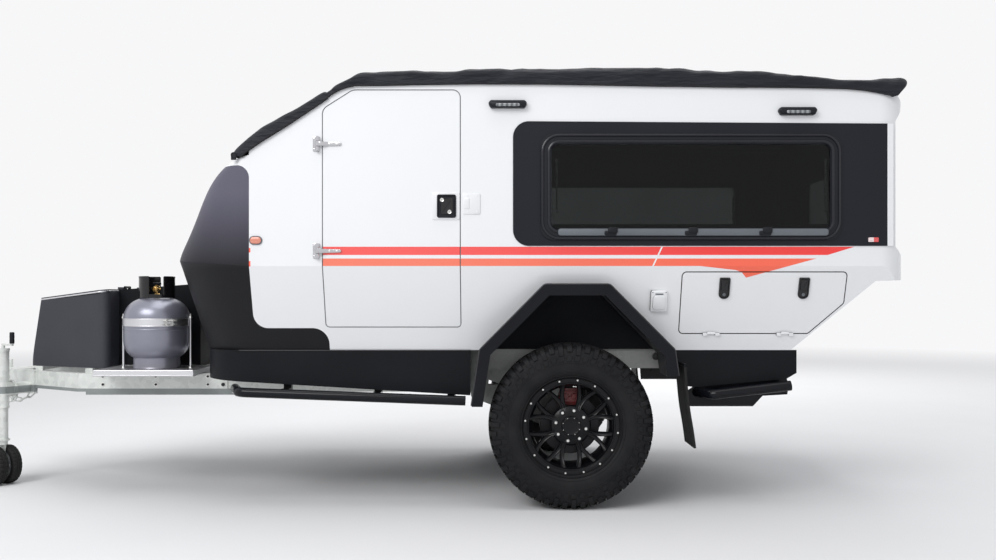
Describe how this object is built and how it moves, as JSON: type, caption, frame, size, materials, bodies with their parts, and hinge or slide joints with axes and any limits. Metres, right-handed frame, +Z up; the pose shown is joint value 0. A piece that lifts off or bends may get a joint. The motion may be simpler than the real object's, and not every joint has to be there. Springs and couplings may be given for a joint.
{
  "type": "teardrop trailer",
  "caption": "Off-road teardrop camper trailer: moulded cabin, black nose guard, canvas roof cover, side door, locker hatches, A-frame toolbox with gas bottles and jockey wheels.",
  "frame": {"origin": "on the ground under the middle of the trailer's overall box", "axes": "+X towards the rear, -X towards the coupling, -Y the near side with the entry door, +Z up"},
  "size_m": [5.106, 2.06, 2.176],
  "materials": {
    "white_panel": "smooth white gel coat",
    "black_guard": "fine textured black coating",
    "black_trim": "satin black",
    "galvanised": "hot-dip galvanised steel",
    "black_steel": "black powder coat",
    "chrome_fitting": "polished hinge metal",
    "bottle_paint": "grey enamel",
    "aluminium_band": "brushed aluminium band",
    "tyre_rubber": "black tread rubber",
    "rim_black": "satin black alloy",
    "brake_iron": "machined iron",
    "caliper_red": "red enamel",
    "rubber_black": "black rubber",
    "canvas_black": "black woven canvas",
    "window_glass": "tinted acrylic",
    "lamp_lens": "lamp lenses and housings",
    "plywood": "varnished board",
    "mattress_cloth": "woven cover",
    "chain_zinc": "zinc plated"
  },
  "bodies": {
    "trailer": {"air_springs": "rubber_black", "arch_flares": "black_guard", "bed_base": "plywood", "bottle_holders": "aluminium_band", "brake_calipers": "caliper_red", "chassis_frame": "galvanised", "coupling": "galvanised", "cover_roof": "canvas_black", "cover_slope": "canvas_black", "door_hinge_leaves": "chrome_fitting", "drawbar": "galvanised", "flap_brackets": "black_steel", "floor": "black_trim", "gas_bottles": "bottle_paint", "jockey_bracket": "galvanised", "marker_lamps": "lamp_lens", "mattress": "mattress_cloth", "mud_flaps": "rubber_black", "nose_guard": "black_guard", "power_inlet": "white_panel", "rear_wall": "white_panel", "roof": "white_panel", "safety_chains": "chain_zinc", "scene_lamps": "black_trim", "skirt_front": "black_steel", "skirts_rear": "black_steel", "step_tubes": "black_steel", "stone_bars": "black_steel", "strike_plate": "white_panel", "toolbox": "black_steel", "toolbox_neck": "black_steel", "trailing_arms": "galvanised", "wall_left": "white_panel", "wall_right": "white_panel", "wheel_wells": "black_trim", "window_frames": "black_trim", "window_panes": "window_glass", "window_surrounds": "black_trim"},
    "entry_door": {"entry_door": "white_panel", "door_hinge_straps": "chrome_fitting", "door_handle": "black_trim"},
    "locker_left": {"locker_hatch_left": "white_panel", "locker_latches_left": "black_trim"},
    "locker_right": {"locker_hatch_right": "white_panel", "locker_latches_right": "black_trim"},
    "toolbox_lid": {"toolbox_lid": "black_steel"},
    "wheel_left": {"tyre_left": "tyre_rubber", "rim_left": "rim_black", "brake_disc_left": "brake_iron"},
    "wheel_right": {"tyre_right": "tyre_rubber", "rim_right": "rim_black", "brake_disc_right": "brake_iron"},
    "jockey_outer": {"jockey_outer": "galvanised"},
    "jockey_leg": {"jockey_leg": "galvanised"},
    "jockey_fork": {"jockey_fork": "galvanised"},
    "jockey_wheels": {"jockey_wheels": "rubber_black"}
  },
  "joints": [
    {"name": "door_hinge", "type": "hinge", "parent": "trailer", "child": "entry_door", "pos_m": [-0.357, -0.994, 1.5], "axis": [0, 0, -1], "range_deg": [0, 110]},
    {"name": "locker_hinge_left", "type": "hinge", "parent": "trailer", "child": "locker_left", "pos_m": [1.787, -0.86967, 0.8585], "axis": [1, 0, 0], "range_deg": [0, 90]},
    {"name": "locker_hinge_right", "type": "hinge", "parent": "trailer", "child": "locker_right", "pos_m": [1.787, 0.86967, 0.8585], "axis": [-1, 0, 0], "range_deg": [0, 90]},
    {"name": "lid_hinge", "type": "hinge", "parent": "trailer", "child": "toolbox_lid", "pos_m": [-1.603, 0, 1.097], "axis": [0, 1, 0], "range_deg": [0, 75]},
    {"name": "wheel_spin_left", "type": "hinge", "parent": "trailer", "child": "wheel_left", "pos_m": [0.887, -0.8925, 0.4075], "axis": [0, 1, 0], "continuous": true},
    {"name": "wheel_spin_right", "type": "hinge", "parent": "trailer", "child": "wheel_right", "pos_m": [0.887, 0.8925, 0.4075], "axis": [0, 1, 0], "continuous": true},
    {"name": "jockey_swing", "type": "hinge", "parent": "trailer", "child": "jockey_outer", "pos_m": [-2.19797, -0.30307, 0.531], "axis": [-0.5424, -0.8401, 0], "range_deg": [0, 90]},
    {"name": "jockey_wind", "type": "slide", "parent": "jockey_outer", "child": "jockey_leg", "axis": [0, 0, 1], "range_m": [0, 0.16]},
    {"name": "jockey_castor", "type": "hinge", "parent": "jockey_leg", "child": "jockey_fork", "pos_m": [-2.22183, -0.34004, 0.23], "axis": [0, 0, 1], "continuous": true},
    {"name": "jockey_spin", "type": "hinge", "parent": "jockey_fork", "child": "jockey_wheels", "pos_m": [-2.24199, -0.32702, 0.107], "axis": [-0.5424, -0.8401, 0], "continuous": true}
  ]
}
